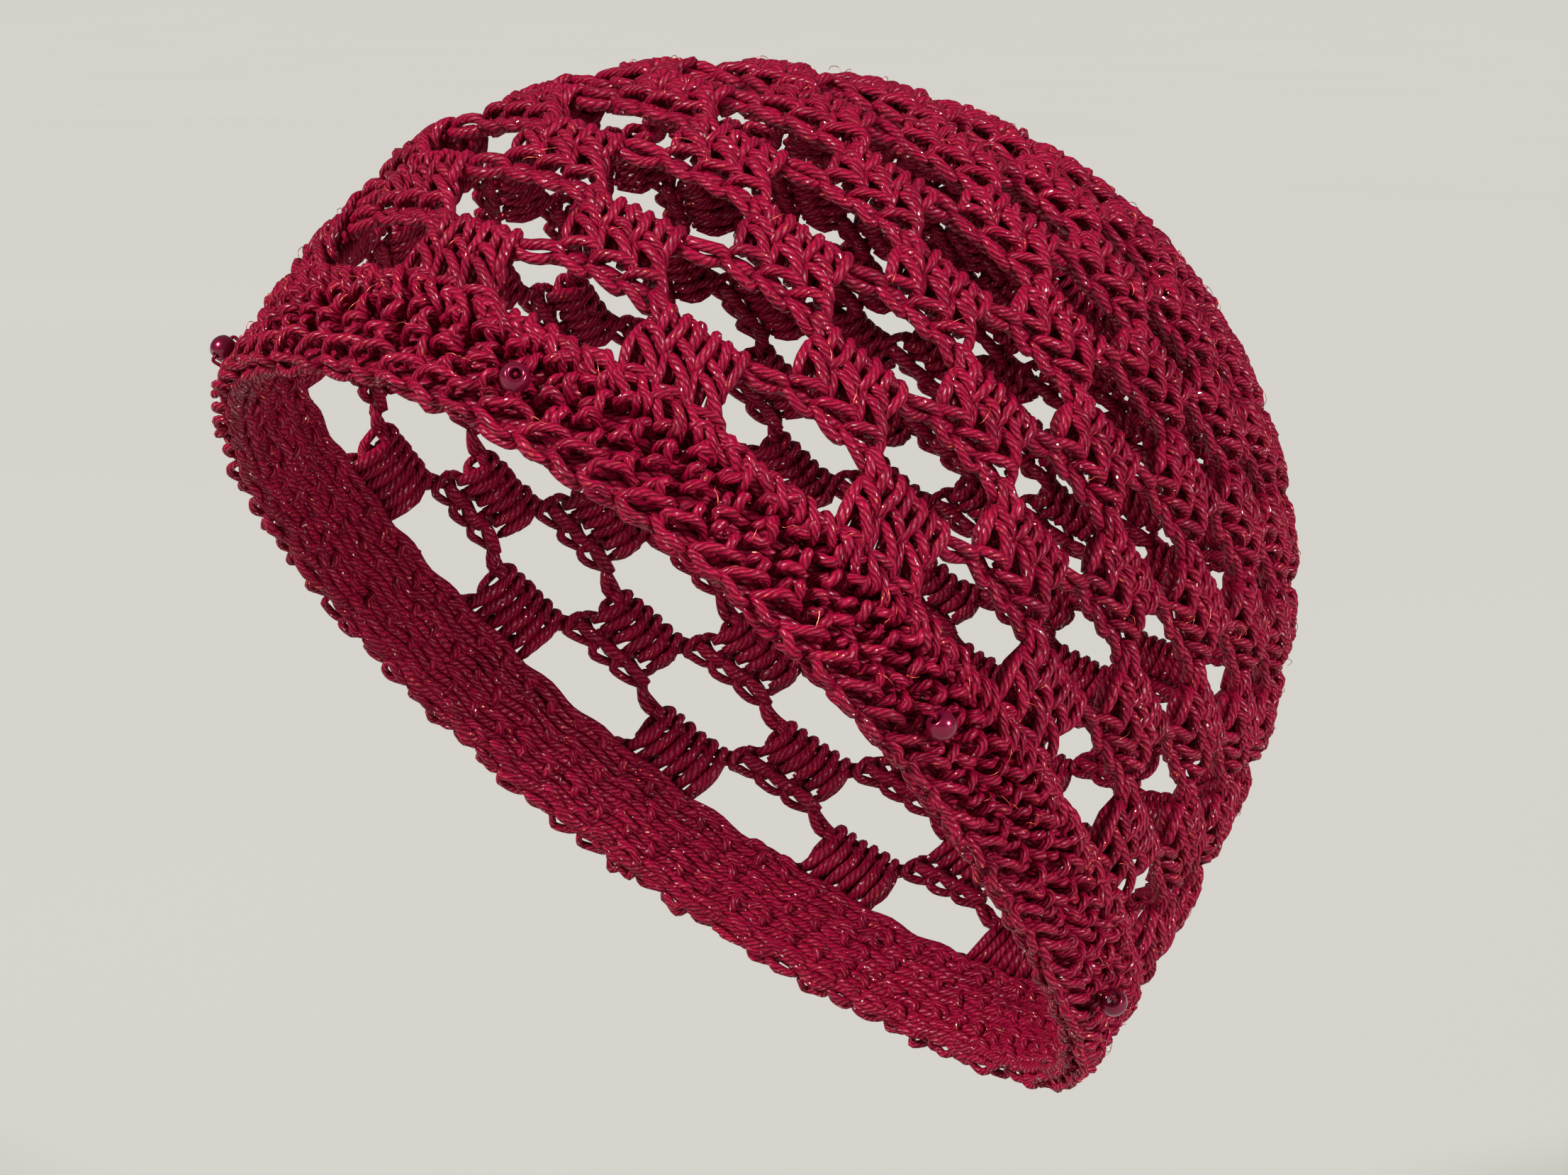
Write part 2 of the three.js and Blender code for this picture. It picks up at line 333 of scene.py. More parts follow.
def link_chain(tree, *pairs):
    """Links each pair of sockets."""
    for out, into in pairs:
        tree.links.new(out, into)


def math_node(tree, operation, a, b=None, clamp=False, addend=None):
    """A Math node; its values are sockets or numbers."""
    node = tree.nodes.new("ShaderNodeMath")
    node.operation = operation
    node.use_clamp = clamp
    for socket, value in zip(node.inputs, (a, b, addend)):
        if value is None:
            continue
        if isinstance(value, (int, float)):
            socket.default_value = value
        else:
            tree.links.new(value, socket)
    return node.outputs[0]


def mix_colour(tree, share, first, second, blend="MIX"):
    """A colour between two others, by its share, or blended with the second."""
    node = tree.nodes.new("ShaderNodeMix")
    node.data_type = "RGBA"
    node.blend_type = blend
    for socket, value in ((node.inputs[0], share), (node.inputs[6], first), (node.inputs[7], second)):
        if isinstance(value, (int, float, tuple)):
            socket.default_value = value
        else:
            tree.links.new(value, socket)
    return node.outputs[2]


# %% Masks and noise


def spread(tree, value, low, high):
    """Maps low..high of a value to 0..1."""
    node = tree.nodes.new("ShaderNodeMapRange")
    node.inputs["From Min"].default_value = low
    node.inputs["From Max"].default_value = high
    tree.links.new(value, node.inputs["Value"])
    return node.outputs["Result"]


def attribute(tree, name, output="Fac"):
    """A value that the mesh carries at each of its points."""
    node = tree.nodes.new("ShaderNodeAttribute")
    node.attribute_name = name
    return node.outputs[output]


def stretched_noise(tree, vector, stretch, detail=2.0):
    """Noise in the yarn's own space, with its own scale across and along the plies."""
    scale = tree.nodes.new("ShaderNodeVectorMath")
    scale.operation = "MULTIPLY"
    scale.inputs[1].default_value = stretch
    noise = tree.nodes.new("ShaderNodeTexNoise")
    noise.inputs["Scale"].default_value = 1.0
    noise.inputs["Detail"].default_value = detail
    link_chain(tree, (vector, scale.inputs[0]), (scale.outputs[0], noise.inputs["Vector"]))
    return noise.outputs["Fac"]


def varied(tree, value, noise, amount, clamp=False):
    """The value, moved up and down by a noise round the noise's middle."""
    return math_node(tree, "MULTIPLY_ADD", math_node(tree, "SUBTRACT", noise, 0.5), amount, clamp, value)


def above(tree, value, limit, sharpness):
    """1 where the value passes the limit and 0 elsewhere, with a short ramp between."""
    return math_node(tree, "MULTIPLY", math_node(tree, "SUBTRACT", value, limit), sharpness, clamp=True)


def new_group(name, inputs, outputs):
    """A shader node group with named inputs and outputs."""
    tree = bpy.data.node_groups.new(name, "ShaderNodeTree")
    for label, kind, value in inputs:
        socket = tree.interface.new_socket(label, in_out="INPUT", socket_type=kind)
        socket.default_value = value
    for label, kind in outputs:
        tree.interface.new_socket(label, in_out="OUTPUT", socket_type=kind)
    return tree, tree.nodes.new("NodeGroupInput").outputs, tree.nodes.new("NodeGroupOutput").inputs


# %% The plied cotton group
tree, given, made = new_group(
    "Plied cotton",
    [
        # The groove colour is painted shade: a darker colour painted into the ply grooves
        ("Crown colour", "NodeSocketColor", (0.5, 0.02, 0.07, 1)),
        ("Painted groove shade", "NodeSocketColor", (0.1, 0.002, 0.01, 1)),
        ("Glint colour", "NodeSocketColor", (0.85, 0.14, 0.09, 1)),
        ("Glint share", "NodeSocketFloat", 0.12),
        ("Plies", "NodeSocketFloat", 5.0),
        ("Millimetres a turn", "NodeSocketFloat", 8.5),
        ("Sparkle colour", "NodeSocketColor", (1.0, 0.8, 0.8, 1)),
    ],
    [
        ("Colour", "NodeSocketColor"),
        ("Roughness", "NodeSocketFloat"),
        ("Metallic", "NodeSocketFloat"),
        ("Gloss", "NodeSocketFloat"),
        ("Height", "NodeSocketFloat"),
    ],
)
PATTERNS = {  # each noise: how fine across the strand, how fine along it, and its detail
    "loose": (0.5, 0.35, 1.0),
    "wear": (1.3, 0.6, 1.0),
    "fibres": (4.0, 1.1, 3.0),
    "patches": (0.6, 0.22, 1.0),
    "dashes": (1.6, 0.7, 1.0),
    "specks": (2.0, 1.1, 0.0),
    "streaks": (6.0, 0.9, 1.0),
}
space = attribute(tree, "ply_space", "Vector")
pattern = {
    name: stretched_noise(tree, space, (across, across, along), detail)
    for name, (across, along, detail) in PATTERNS.items()
}

# %% Ridges of the plies
LOOSENESS, RIDGE_POWER, WEAR = 1.6, 0.7, 0.6
parts = tree.nodes.new("ShaderNodeSeparateXYZ")
tree.links.new(space, parts.inputs[0])
angle = math_node(tree, "ARCTAN2", parts.outputs[1], parts.outputs[0])
angle = math_node(tree, "DIVIDE", angle, 2 * math.pi)
winding = math_node(tree, "DIVIDE", parts.outputs[2], given["Millimetres a turn"])
ply_count = math_node(tree, "MULTIPLY", math_node(tree, "ADD", angle, winding), given["Plies"])
ply_count = math_node(tree, "MULTIPLY_ADD", pattern["loose"], LOOSENESS, addend=ply_count)
wave = math_node(tree, "COSINE", math_node(tree, "MULTIPLY", ply_count, 2 * math.pi))
ridge = math_node(tree, "POWER", math_node(tree, "MULTIPLY_ADD", wave, 0.5, addend=0.5), RIDGE_POWER)
ridge = varied(tree, ridge, pattern["wear"], WEAR, clamp=True)

# %% Colour, glint and gloss
DARKEST_TONE, TONE_SPREAD, STREAKINESS = 0.8, 0.3, 0.8
DASH_LIMIT, DASH_SHARPNESS = 0.78, 30.0
SPECK_LIMIT, SPECK_SHARPNESS = 0.81, 40.0
GROOVE_ROUGHNESS, RIDGE_SMOOTHS, GLINT_SMOOTHS = 0.84, -0.5, 0.3
GLINT_METAL, FIBRE_HEIGHT = 0.85, 0.3
shade = math_node(tree, "MULTIPLY_ADD", attribute(tree, "yarn_tone"), TONE_SPREAD, addend=DARKEST_TONE)
for name in ("fibres", "patches"):
    shade = varied(tree, shade, pattern[name], STREAKINESS)
# Painted shade: the ply grooves take the darker groove colour and the crowns the yarn's own colour
plain = mix_colour(tree, ridge, given["Painted groove shade"], given["Crown colour"])
grey = mix_colour(tree, shade, (0, 0, 0, 1), (1, 1, 1, 1))
toned = mix_colour(tree, 1.0, plain, grey, "MULTIPLY")
dash_limit = math_node(tree, "SUBTRACT", DASH_LIMIT, given["Glint share"])
dashes = above(tree, pattern["dashes"], dash_limit, DASH_SHARPNESS)
dashes = math_node(tree, "MULTIPLY", dashes, spread(tree, ridge, 0.45, 0.8), clamp=True)
sparkle = above(tree, pattern["specks"], SPECK_LIMIT, SPECK_SHARPNESS)
flash = mix_colour(tree, sparkle, given["Glint colour"], given["Sparkle colour"])
glint = math_node(tree, "MAXIMUM", dashes, sparkle)
rough = math_node(tree, "MULTIPLY_ADD", ridge, RIDGE_SMOOTHS, addend=GROOVE_ROUGHNESS)
polish = math_node(tree, "MULTIPLY", glint, GLINT_SMOOTHS)
shine = spread(tree, pattern["streaks"], 0.5, 0.66)
gloss = math_node(tree, "MULTIPLY", spread(tree, ridge, 0.4, 0.9), shine)
link_chain(
    tree,
    (mix_colour(tree, glint, toned, flash), made["Colour"]),
    (math_node(tree, "SUBTRACT", rough, polish), made["Roughness"]),
    (math_node(tree, "MULTIPLY", glint, GLINT_METAL), made["Metallic"]),
    (gloss, made["Gloss"]),
    (math_node(tree, "MULTIPLY_ADD", pattern["fibres"], FIBRE_HEIGHT, addend=ridge), made["Height"]),
)
plied_cotton = tree
print("plied cotton group:", len(tree.nodes), "nodes")

# %% Yarn materials
# Painted shade in the ply grooves: a darker red than the crowns
GROOVE_PAINTED_SHADE = (0.135, 0.0004, 0.0115)
GLINT_SHARE = 0.09
PLY_DEPTH = 0.17


def new_material(name, values):
    """A material with these constant values on its shader, its node tree and its shader."""
    material = bpy.data.materials.new(name)
    material.use_nodes = True
    shader = material.node_tree.nodes["Principled BSDF"]
    for socket, value in values.items():
        shader.inputs[socket].default_value = value
    return material, material.node_tree, shader


def yarn_material(name, crown, turn):
    """Plied cotton with the colour of its ridges and the millimetres that a turn of its plies takes."""
    values = {"Specular IOR Level": 0.1, "Coat Roughness": 0.4, "Coat IOR": 1.65}
    material, nodes, shader = new_material(name, values)
    cotton = nodes.nodes.new("ShaderNodeGroup")
    cotton.node_tree = plied_cotton
    cotton.inputs["Crown colour"].default_value = (*crown, 1)
    # The darker colour painted into the ply grooves as painted shade
    cotton.inputs["Painted groove shade"].default_value = (*GROOVE_PAINTED_SHADE, 1)
    cotton.inputs["Glint share"].default_value = GLINT_SHARE
    cotton.inputs["Millimetres a turn"].default_value = turn
    bump = nodes.nodes.new("ShaderNodeBump")
    bump.inputs["Strength"].default_value = 1.0
    bump.inputs["Distance"].default_value = PLY_DEPTH * MM
    link_chain(
        nodes,
        (cotton.outputs["Colour"], shader.inputs["Base Color"]),
        (cotton.outputs["Roughness"], shader.inputs["Roughness"]),
        (cotton.outputs["Metallic"], shader.inputs["Metallic"]),
        (cotton.outputs["Gloss"], shader.inputs["Coat Weight"]),
        (cotton.outputs["Height"], bump.inputs["Height"]),
        (bump.outputs["Normal"], shader.inputs["Normal"]),
    )
    material.diffuse_color = (*crown, 1)
    return material


net_yarn = yarn_material("net_yarn", (0.31, 0.0013, 0.033), turn=6.6)
band_yarn = yarn_material("band_yarn", (0.33, 0.0014, 0.035), turn=6.8)
print("yarns:", net_yarn.name, band_yarn.name)

# %% [markdown]
# ## Stitches
# Crochet is loops pulled through loops. Seen from outside, each round has a braid of V shapes,
# which are the stitches' tops and the chains between them, and under it the posts. A post starts
# as two strands that wrap the chain of the round above, then twist round each other and end in
# the braid. Each kind of loop is a short list of control points in millimetres, right, up and out.

# %% Loops of the braid
# Each row: share of the pitch, share of the half height, out in mm
LOOP = np.array(
    [
        (0.00, 0.05, -1.5),
        (0.12, 0.18, -0.5),
        (0.26, 0.34, 0.55),
        (0.52, 0.62, 1.0),
        (0.90, 0.98, 0.9),
        (1.12, 1.02, 0.05),
        (1.25, 0.55, -0.95),
        (1.27, -0.20, -1.3),
        (1.18, -0.85, -1.1),
        (0.94, -1.10, -0.55),
        (0.55, -0.88, -0.25),
        (0.22, -0.50, -0.5),
        (0.02, -0.25, -1.5),
    ]
)
BARE_LOOP = np.array(
    [
        (-0.06, 0.10, -0.8),
        (0.12, 0.55, 0.2),
        (0.42, 1.05, 0.8),
        (0.80, 0.55, 0.9),
        (1.08, -0.15, 0.5),
        (1.20, -0.50, -0.4),
        (1.08, -0.95, -1.0),
        (0.80, -1.15, -0.6),
        (0.45, -1.00, 0.0),
        (0.14, -0.45, 0.1),
        (-0.06, -0.15, -0.9),
    ]
)
BEHIND = np.array([(-0.05, 0.2, -1.6), (0.5, -0.2, -1.3), (1.05, 0.2, -1.6)])
STRAND_SINK = -1.2


def to_world(repeat, x, along, lift):
    """Control points given in millimetres from the middle of a repeat."""
    return on_dome(repeat + x / repeat_width(along), along, lift + STRAND_SINK)


def wobbled(repeat, x, along, lift, jitter):
    """The same with small random shifts, because no two stitches are alike."""
    shifts = np.moveaxis(random.normal(0, jitter, (*x.shape, 3)), -1, 0)
    return to_world(repeat[:, None], x + shifts[0], along + shifts[1], lift + shifts[2])


def braid(repeat, x, along, pitch, half_height, lift, form, jitter=0.13):
    """One loop of chain for every entry of the arrays."""
    right, up, out = form.T
    xs = x[:, None] + right * pitch
    return wobbled(repeat, xs, along(xs) + half_height * up, out + lift, jitter)


print("points in a loop:", len(LOOP), "and in a bare loop:", len(BARE_LOOP))


# %% Strands of a post
# Each row: share of the way down the post, right in mm, up in mm, out in mm
POST_LEFT = np.array(
    [
        (0.00, -1.2, -1.2, -1.6),
        (0.00, -1.1, 0.9, -1.3),
        (0.00, -0.9, 1.65, 0.3),
        (0.00, -0.7, 0.9, 1.55),
        (0.06, -0.2, 0.0, 1.7),
        (0.20, 0.2, 0.0, 1.2),
        (0.34, 0.3, 0.0, 0.0),
        (0.50, 0.0, 0.0, -0.8),
    ]
)
POST_RIGHT = np.array(
    [
        (0.00, 0.9, -1.2, -1.6),
        (0.00, 1.1, 0.9, -1.3),
        (0.00, 1.5, 1.75, 0.3),
        (0.00, 2.1, 1.0, 1.6),
        (0.06, 2.5, 0.0, 1.9),
        (0.24, 2.7, 0.0, 1.8),
        (0.44, 2.6, 0.0, 1.3),
        (0.62, 2.2, 0.0, 0.0),
        (0.72, 1.8, 0.0, -0.9),
    ]
)
POST_UPPER_WRAP = np.array(
    [
        (0.12, -2.3, 0.0, -0.9),
        (0.20, -2.0, 0.0, 0.5),
        (0.28, -1.0, 0.0, 1.5),
        (0.35, 0.5, 0.0, 1.8),
        (0.46, 1.8, 0.0, 1.2),
        (0.58, 2.6, 0.0, -0.2),
        (0.66, 2.6, 0.0, -1.0),
    ]
)
POST_LOWER_WRAP = np.array(
    [
        (0.42, -1.9, 0.0, -0.7),
        (0.50, -1.3, 0.0, 0.6),
        (0.58, 0.0, 0.0, 1.6),
        (0.70, 1.7, 0.0, 1.8),
        (0.84, 3.2, 0.0, 1.4),
        (0.98, 4.2, 0.0, 0.3),
        (1.08, 4.4, 0.0, -0.6),
    ]
)
POST_EDGE = np.array(
    [
        (0.02, -1.9, 0.0, -1.2),
        (0.14, -2.2, 0.0, -0.2),
        (0.34, -2.3, 0.0, 0.4),
        (0.56, -2.0, 0.0, 0.7),
        (0.78, -1.3, 0.0, 0.9),
        (0.98, -0.6, 0.0, 0.5),
        (1.12, 0.2, 0.0, -0.5),
    ]
)
POST_BACK = np.array(
    [(0.05, 0.2, 0.0, -1.3), (0.35, 0.1, 0.0, -1.4), (0.68, 0.9, 0.0, -1.3), (1.0, 1.8, 0.0, -1.1)]
)
POST_FORMS = (POST_LEFT, POST_RIGHT, POST_UPPER_WRAP, POST_LOWER_WRAP, POST_EDGE)


def posts(repeat, x_base, x_foot, base, foot, form, squeeze=1.0, jitter=0.12):
    """One strand of a post for every entry of the arrays."""
    down, right, up, out = form.T
    xs = x_base[:, None] + (x_foot - x_base)[:, None] * down + right * squeeze
    return wobbled(repeat, xs, base + (foot - base) * down + up, out, jitter)


print("strands that show on a post:", len(POST_FORMS))


# %% [markdown]
# ## The net
# In every repeat a cluster of posts hangs from the chain above and stands on its own braid, and
# a bare chain spans to the next cluster, which leaves one oval gap. The next round sits half a
# repeat on, like bricks. Near the crown a repeat is narrower, so it has fewer loops and posts.

# %% The rounds, from the band up
FIRST_GAP, ROUND_PITCH, PITCH_LOSS = 22.6, 12.2, 0.21
NET_ROUNDS = 8
LOOPS = [7] * 5 + [6] * 3 + [5] * 2 + [4] + [3] * 2 + [2] * 2  # of braid in a repeat, by round
POSTS = [3] * 10 + [2] * 3 + [1] * 2  # in a cluster, by round
RING_ALONG = 158.0


def gap_middle(number):
    """How far up the middle of this round's gaps lies."""
    return FIRST_GAP + ROUND_PITCH * (number - 1) - PITCH_LOSS * (number - 1) ** 2


def line_of(number):
    """How far up the chain that starts this round lies."""
    if number > len(LOOPS):
        return RING_ALONG
    return (gap_middle(number - 1) + gap_middle(number)) / 2


def cluster_middles(repeats, number):
    """Where the clusters of a round sit, half a repeat on from the round before."""
    return repeats + (number - 1) / 2 + 0.5


print("gap middles, mm up:", [round(gap_middle(number), 1) for number in range(1, NET_ROUNDS + 1)])

# %% The braid under each cluster and the bare chain between
# The first braid lies flatter than the others, because the band wraps it
FIRST_BRAID = {"rise": 1.8, "half_height": 1.5, "lift": -0.1, "foot": 0.8}
NEXT_BRAIDS = {"rise": 2.7, "half_height": 2.05, "lift": 0.35, "foot": 2.0}
BRAID_SHIFT, HUMP_SHIFT = 0.2, 0.5
HUMP_TRIM, FADE_WIDTH = 0.25, 0.9
BARE_HALF_HEIGHT, BARE_LIFT, BARE_RADIUS = 0.85, 0.2, 0.95
BEHIND_RADIUS, BEHIND_DENSITY = 1.35, 0.8
CROWN_SIDES, INNERMOST_SIDES, INNERMOST_FROM = 6, 5, 11


def braid_size(number):
    """The braid's sizes in this round."""
    return FIRST_BRAID if number == 1 else NEXT_BRAIDS


def tube_sides(number):
    """How round the tubes of a round are: less so in the crown's centre, where they are many."""
    if number <= NET_ROUNDS:
        return SIDES
    return CROWN_SIDES if number < INNERMOST_FROM else INNERMOST_SIDES


def braid_line(number):
    """The chain's height along a repeat: high under its own cluster, low where it is wrapped."""
    loops, count = LOOPS[number - 1], POSTS[number - 1]
    pitch = repeat_width(line_of(number)) / loops
    rise = braid_size(number)["rise"]

    def height(x):
        width = pitch * loops
        away = np.abs((x - BRAID_SHIFT - HUMP_SHIFT + width / 2) % width - width / 2)
        fade = np.clip((away - (count / 2 - HUMP_TRIM) * pitch) / (FADE_WIDTH * pitch), 0, 1)
        return line_of(number) + rise * (1 - fade * fade * (3 - 2 * fade))

    return height, pitch, line_of(number) + rise


def braid_tubes(number, middles, sway):
    """The braid, the bare chain and a strand that fills the shade behind the braid."""
    loops, count, size = LOOPS[number - 1], POSTS[number - 1], braid_size(number)
    height, pitch, _ = braid_line(number)
    which = np.tile(np.arange(loops), REPEATS)
    of_repeat = np.repeat(np.arange(REPEATS), loops)
    x = (which - count / 2) * pitch + BRAID_SHIFT + sway[of_repeat]
    closed = which < count
    sides = tube_sides(number)
    tubes = []
    for chosen, form, half_height, lift, radius, corners, density in (
        (closed, LOOP, size["half_height"], size["lift"], YARN_RADIUS, sides, 1.0),
        (~closed, BARE_LOOP, BARE_HALF_HEIGHT, BARE_LIFT, BARE_RADIUS, sides, 1.0),
        (closed, BEHIND, 1.0, 0.0, BEHIND_RADIUS, HIDDEN_SIDES, BEHIND_DENSITY),
    ):
        strands = braid(middles[of_repeat][chosen], x[chosen], height, pitch, half_height, lift, form)
        tubes.append(swept(strands, radius, corners, density))
    return tubes


# %% The posts of each cluster
BASE_SHIFT = -1.2
POST_SPACING, WIDEST_FOOT_SPACING = 4.9, 5.6
BACK_ASIDES, BACK_RADIUS, BACK_DENSITY = (-1.6, 1.0), 1.3, 0.4
CLUSTER_SWAY = 0.25


def post_tubes(number, middles, sway):
    """The strands that show on each post, and two behind it that keep the light out."""
    count = POSTS[number - 1]
    _, pitch, braid_middle = braid_line(number)
    which = np.tile(np.arange(count), REPEATS) - (count - 1) / 2
    of_repeat = np.repeat(np.arange(REPEATS), count)
    base_pitch = min(POST_SPACING, repeat_width(line_of(number + 1)) / count)
    x_base = which * base_pitch + BASE_SHIFT + sway[of_repeat]
    x_foot = which * min(WIDEST_FOOT_SPACING, pitch) + BASE_SHIFT + sway[of_repeat]
    base, foot = line_of(number + 1), braid_middle + braid_size(number)["foot"]
    squeeze = min(1.0, base_pitch / POST_SPACING)
    tubes = []
    for form in POST_FORMS:
        strands = posts(middles[of_repeat], x_base, x_foot, base, foot, form, squeeze)
        tubes.append(swept(strands, sides=tube_sides(number)))
    for aside in BACK_ASIDES:
        strands = posts(middles[of_repeat], x_base + aside, x_foot + aside, base, foot, POST_BACK)
        tubes.append(swept(strands, BACK_RADIUS, HIDDEN_SIDES, BACK_DENSITY))
    return tubes


def net_round(number):
    """The strands of one round: its braid and chain, and its posts."""
    middles = cluster_middles(np.arange(REPEATS), number)
    sway = random.normal(0, CLUSTER_SWAY, REPEATS)
    return braid_tubes(number, middles, sway) + post_tubes(number, middles, sway)


for number in range(1, NET_ROUNDS + 1):
    piece_of(f"net_round_{number}", net_round(number), net_yarn, "crown_net")
for number in range(NET_ROUNDS + 1, len(LOOPS) + 1):
    piece_of(f"crown_round_{number}", net_round(number), net_yarn, "crown_centre")

# %% [markdown]
# The work starts with a ring of yarn that the first posts are worked into. It is pulled
# nearly shut, so a single strand carried twice round the crown is enough.

# %% The start ring
RING_START, RING_CLIMB = 0.8, 1.6
RING_LIFT, RING_RIPPLE, RIPPLES = -0.6, 0.5, 1.3
turns = np.linspace(0, 2 * REPEATS, 57)
ring_rise = RING_ALONG + RING_START + RING_CLIMB * np.abs((turns / REPEATS) % 2 - 1)
ring_strand = on_dome(turns, ring_rise, RING_LIFT + RING_RIPPLE * np.sin(turns * RIPPLES))[None]
piece_of("start_ring", [swept(ring_strand, pinch=0)], net_yarn, "crown_centre")

# %% [markdown]
# ## The band
# Rounds of single crochet make the band. From outside each stitch shows three strands: a leaf
# that rises to the right, a rounded leg at the left, and a far leg in shade. Between them stays
# a small dark hollow, closed behind by the back of the fabric. The first round wraps the chain
# that the net grows from. Its leaves sit a little lower, so the wraps stand up as rounded bumps
# and make the lower rim of the gaps.

# %% Strands of one band stitch
# Each row: right in mm, up in mm from the top of the row, out in mm
BAND_YARN = 0.78
LEAF = np.array(
    [
        (1.2, -1.6, -2.3),
        (1.6, -1.3, -0.3),
        (2.3, -0.8, 1.4),
        (3.4, -0.1, 1.6),
        (4.2, 0.3, 0.3),
        (4.5, 0.4, -2.0),
    ]
)
LEG = np.array(
    [
        (0.7, -1.2, -2.2),
        (0.1, -1.3, 0.0),
        (-0.1, -2.0, 1.4),
        (0.1, -3.0, 1.5),
        (0.4, -3.8, 0.1),
        (0.6, -4.2, -2.2),
    ]
)
FAR_LEG = np.array(
    [
        (5.0, -1.2, -2.6),
        (4.9, -1.6, -0.8),
        (4.6, -2.4, 0.2),
        (4.2, -3.2, 0.2),
        (3.8, -3.9, -0.8),
        (3.6, -4.3, -2.6),
    ]
)
WRAP = np.array(
    [
        (-1.2, 2.6, -1.6),
        (-1.2, 3.8, -0.5),
        (-0.4, 3.7, 1.0),
        (1.0, 2.5, 1.7),
        (2.4, 1.2, 1.2),
        (3.2, 0.4, 0.0),
        (3.5, 0.0, -1.6),
    ]
)
BACK_BUMP = np.array(
    [(-0.4, -2.4, -2.2), (0.6, -2.0, -3.3), (2.6, -1.6, -3.7), (4.6, -1.5, -3.2), (5.6, -1.9, -2.2)]
)
BACK_LEG = np.array([(2.6, -1.9, -2.4), (2.2, -2.8, -3.5), (1.6, -3.8, -3.4), (1.2, -4.6, -2.3)])
EDGE_LOOP = np.array(
    [
        (7.0, 4.6, -1.6),
        (6.3, 5.4, 0.0),
        (4.7, 5.2, 1.3),
        (2.9, 4.3, 1.7),
        (1.2, 3.3, 1.2),
        (0.2, 2.6, 0.2),
        (-0.2, 2.1, -0.7),
        (0.5, 1.6, 0.2),
        (1.9, 1.1, 0.8),
        (3.5, 0.8, 0.8),
        (4.9, 1.0, 0.1),
        (5.7, 1.6, -1.4),
    ]
)
EDGE_UNDER = np.array(
    [(0.0, 1.7, -1.7), (1.5, 1.25, -2.0), (3.4, 1.05, -2.1), (5.4, 1.25, -2.0), (6.9, 1.7, -1.7)]
)

# %% Rows of the band and the edging
BAND_STITCHES, STITCH_SWAY = 91, 0.32
BAND_ROWS = [{"top": 19.2, "wraps": True}, {"top": 14.5, "wraps": False}, {"top": 9.5, "wraps": False}]
ROW_SHIFT = 2.3
LEAVES_SETTLE, WRAPS_SETTLE, WRAP_ASIDES = 1.5, 4.7, (-1.4, 1.6)
BACKING_ALONGS = np.arange(2.4, 18.5, 1.75)
BACKING_LIFT, BACKING_RIPPLE = -3.7, 0.3
EDGING_SHIFT, EDGING_BACK_TOP = 9.0, 5.2
print("stitch spacing at the rim, mm:", round(float(ring_girths[0]) / BAND_STITCHES, 1))


def stitches(form, top, shift, jitter=0.26):
    """One strand in every stitch of a row."""
    right, up, out = form.T
    repeat = np.arange(BAND_STITCHES) * REPEATS / BAND_STITCHES
    sway, rise = random.normal(0, STITCH_SWAY, (2, BAND_STITCHES, 1))
    return wobbled(repeat, right + shift + sway, top + up + rise, out, jitter)


def backing(along):
    """The strand that runs behind the stitches all round, seen only through the hollows."""
    turns = np.linspace(0, REPEATS, 6 * REPEATS + 1)
    wave = np.where(np.arange(len(turns)) % 2, 0.5, -0.5)
    return on_dome(turns, along + wave, BACKING_LIFT + BACKING_RIPPLE * wave)[None]


for number, row in enumerate(BAND_ROWS, 1):
    shift = ROW_SHIFT * number
    leaves_top = row["top"] - (LEAVES_SETTLE if row["wraps"] else 0.0)
    tubes = [swept(stitches(form, leaves_top, shift), BAND_YARN, pinch=0.4) for form in (LEAF, LEG, FAR_LEG)]
    tubes += [swept(stitches(form, row["top"], shift), sides=6) for form in (BACK_BUMP, BACK_LEG)]
    if row["wraps"]:
        wraps_top = row["top"] - WRAPS_SETTLE
        tubes += [swept(stitches(WRAP, wraps_top, shift + aside), BAND_YARN) for aside in WRAP_ASIDES]
    piece_of(f"band_row_{number}", tubes, band_yarn, "headband")
backing_tubes = [
    swept(backing(along), HIDDEN_RADIUS, HIDDEN_SIDES, density=0.7, pinch=0) for along in BACKING_ALONGS
]
piece_of("band_backing", backing_tubes, band_yarn, "headband")
edging = [swept(stitches(form, 0.0, EDGING_SHIFT), BAND_YARN) for form in (EDGE_LOOP, EDGE_UNDER)]
edging.append(swept(stitches(BACK_BUMP, EDGING_BACK_TOP, EDGING_SHIFT), sides=6))
piece_of("edging_braid", edging, band_yarn, "edging")

# %% [markdown]
# ## Stray ends of the metallic thread
# The metallic thread is stiffer than the cotton, so here and there a short length of it springs
# clear of the strand and lies over the stitches as a fine bright arc.

# %% Fine arcs over the stitches
STRAY_RADIUS, STRAY_LIFT = 0.06, 2.5
STRAY_LENGTHS, STRAY_BULGES = (1.4, 3.6), (0.3, 0.8)
STRAY_ARC = np.array([(-0.5, -0.4), (-0.3, 0.35), (0.0, 0.6), (0.28, 0.35), (0.5, -0.4)])  # along, out
STRAY_ROUNDS, STRAYS_IN_ROUND, STRAYS_IN_BAND = 11, 18, 80
ROUND_RIGHTS, ROUND_UPS, BAND_UPS = (-6.5, 6.5), (1.5, 11.0), (2.5, 16.5)
metallic_thread, _, _ = new_material(
    "metallic_thread", {"Base Color": (0.85, 0.15, 0.1, 1), "Metallic": 0.9, "Roughness": 0.3}
)


